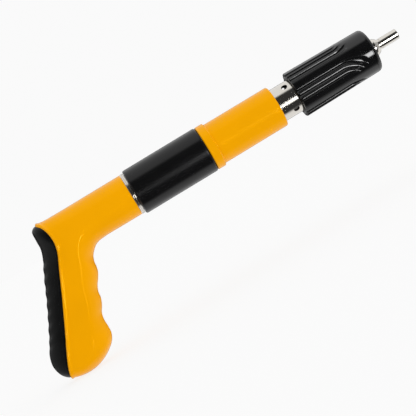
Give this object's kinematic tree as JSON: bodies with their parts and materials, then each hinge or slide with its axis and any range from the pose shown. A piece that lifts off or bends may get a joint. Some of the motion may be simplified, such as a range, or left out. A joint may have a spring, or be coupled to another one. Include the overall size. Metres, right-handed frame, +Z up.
{
  "type": "powder-actuated nail gun",
  "caption": "Powder-actuated nail gun with a pistol grip, a straight receiver tube, a push-back barrel and a fluted muffler.",
  "frame": {"origin": "bottom centre of the bounding box, on the surface the grip's heel stands on, below the middle of the tool", "axes": "+X the way the nail is driven, along the barrel, +Z up with the grip hanging down, +Y to the tool's left"},
  "size_m": [0.425, 0.0444, 0.14],
  "materials": {
    "yellow_plastic": "moulded, glossy",
    "black_plastic": "semi-gloss",
    "black_paint": "semi-gloss coat",
    "black_rubber": "satin",
    "chrome": "polished",
    "machined_steel": "machined",
    "hardened_steel": "blackened",
    "spring_steel": "drawn wire"
  },
  "bodies": {
    "receiver": {"receiver_tube": "machined_steel", "handle_shell_right": "yellow_plastic", "handle_shell_left": "yellow_plastic", "backstrap": "black_rubber", "handle_screw_1": "machined_steel", "handle_screw_2": "machined_steel", "handle_screw_3": "machined_steel", "lock_collar": "chrome", "mid_sleeve": "black_plastic", "front_sleeve": "yellow_plastic", "wiper_ring": "black_rubber", "rear_plug": "machined_steel", "plug_pin": "hardened_steel", "buffer_washer": "black_rubber", "main_spring": "spring_steel", "trip_cam": "hardened_steel", "cam_screw_1": "machined_steel", "cam_screw_2": "machined_steel", "spring_seat": "machined_steel", "seat_pin_1": "hardened_steel", "seat_pin_2": "hardened_steel", "stop_pin_1": "hardened_steel", "stop_pin_2": "hardened_steel"},
    "muzzle": {"vent_tube": "chrome", "barrel": "chrome", "barrel_nut": "chrome", "muffler_mount": "machined_steel", "front_baffle": "machined_steel", "middle_baffle": "machined_steel", "rear_baffle": "machined_steel", "spacer_1": "machined_steel", "spacer_2": "machined_steel", "spacer_3": "machined_steel", "baffle_circlip": "hardened_steel", "breech_block": "hardened_steel", "breech_pin_1": "hardened_steel", "breech_pin_2": "hardened_steel", "trip_stem": "hardened_steel", "return_spring": "spring_steel", "pin_spring": "spring_steel"},
    "muffler": {"muffler_shell": "black_paint"},
    "striker": {"striker": "machined_steel", "latch_spring": "spring_steel"},
    "latch": {"latch_block": "hardened_steel"},
    "firing_pin": {"firing_pin": "hardened_steel"}
  },
  "joints": [
    {"name": "muzzle_press", "type": "slide", "parent": "receiver", "child": "muzzle", "axis": [-1, 0, 0], "range_m": [0, 0.013], "stiffness_N_per_m": 3000, "springref_m": -0.02, "deforming": ["return_spring"]},
    {"name": "muffler_twist", "type": "hinge", "parent": "muzzle", "child": "muffler", "pos_m": [0.1439, 0, 0.1179], "axis": [1, 0, 0], "range_deg": [0, 360]},
    {"name": "striker_cock", "type": "slide", "parent": "receiver", "child": "striker", "axis": [-1, 0, 0], "range_m": [0, 0.013], "deforming": ["main_spring"]},
    {"name": "latch_slide", "type": "slide", "parent": "striker", "child": "latch", "axis": [0, 0, -1], "range_m": [0, 0.0015], "deforming": ["latch_spring"]},
    {"name": "firing_pin_slide", "type": "slide", "parent": "muzzle", "child": "firing_pin", "axis": [1, 0, 0], "range_m": [0, 0.0025], "stiffness_N_per_m": 400, "springref_m": -0.002, "deforming": ["pin_spring"]}
  ],
  "couplings": [
    {"joint": "striker_cock", "follows": "muzzle_press", "ratio": 1},
    {"joint": "latch_slide", "follows": "muzzle_press", "ratio": 0.115}
  ]
}
